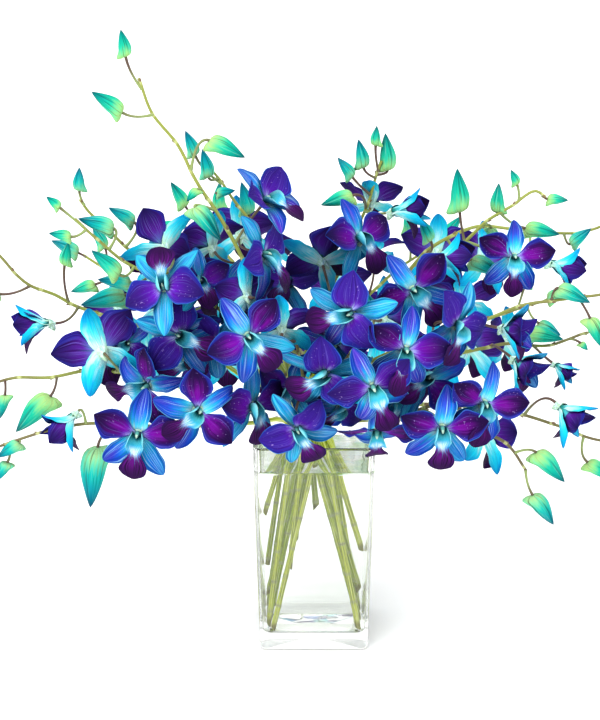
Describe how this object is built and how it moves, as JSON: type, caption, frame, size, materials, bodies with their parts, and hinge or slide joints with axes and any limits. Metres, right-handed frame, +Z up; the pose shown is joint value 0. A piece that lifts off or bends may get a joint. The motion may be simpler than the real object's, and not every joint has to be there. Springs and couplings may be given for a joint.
{
  "type": "dendrobium orchid in vase",
  "caption": "Bunch of cut blue and purple dendrobium orchid sprays with open blooms and buds, standing in a tapered square glass vase of water.",
  "frame": {"origin": "middle of the vase's underside", "axes": "+Z up, -Y the front that the picture shows, +X to the viewer's right, along the widest spread of the sprays"},
  "size_m": [0.5524, 0.3666, 0.5267],
  "materials": {
    "petal": "satin",
    "sepal": "satin",
    "lip": "satin",
    "bud": "satin",
    "stem": "satin",
    "vase_glass": "polished",
    "water": "clear"
  },
  "bodies": {
    "root": {"spray_tall_left": "petal", "spray_top_left": "petal", "spray_top_right": "petal", "spray_upper_right": "petal", "spray_upper_right_back": "petal", "spray_right": "petal", "spray_right_back": "petal", "spray_lower_right": "petal", "spray_bottom_right": "petal", "spray_front_right": "petal", "spray_front_left": "petal", "spray_bottom_left": "petal", "spray_lower_left": "petal", "spray_left": "petal", "spray_upper_left": "petal", "spray_upper_left_back": "petal", "spray_back_left": "petal", "spray_back_high": "petal", "spray_back_right": "petal", "spray_back_low_right": "petal", "spray_back_low": "petal", "vase": "vase_glass", "water": "water"}
  },
  "joints": []
}
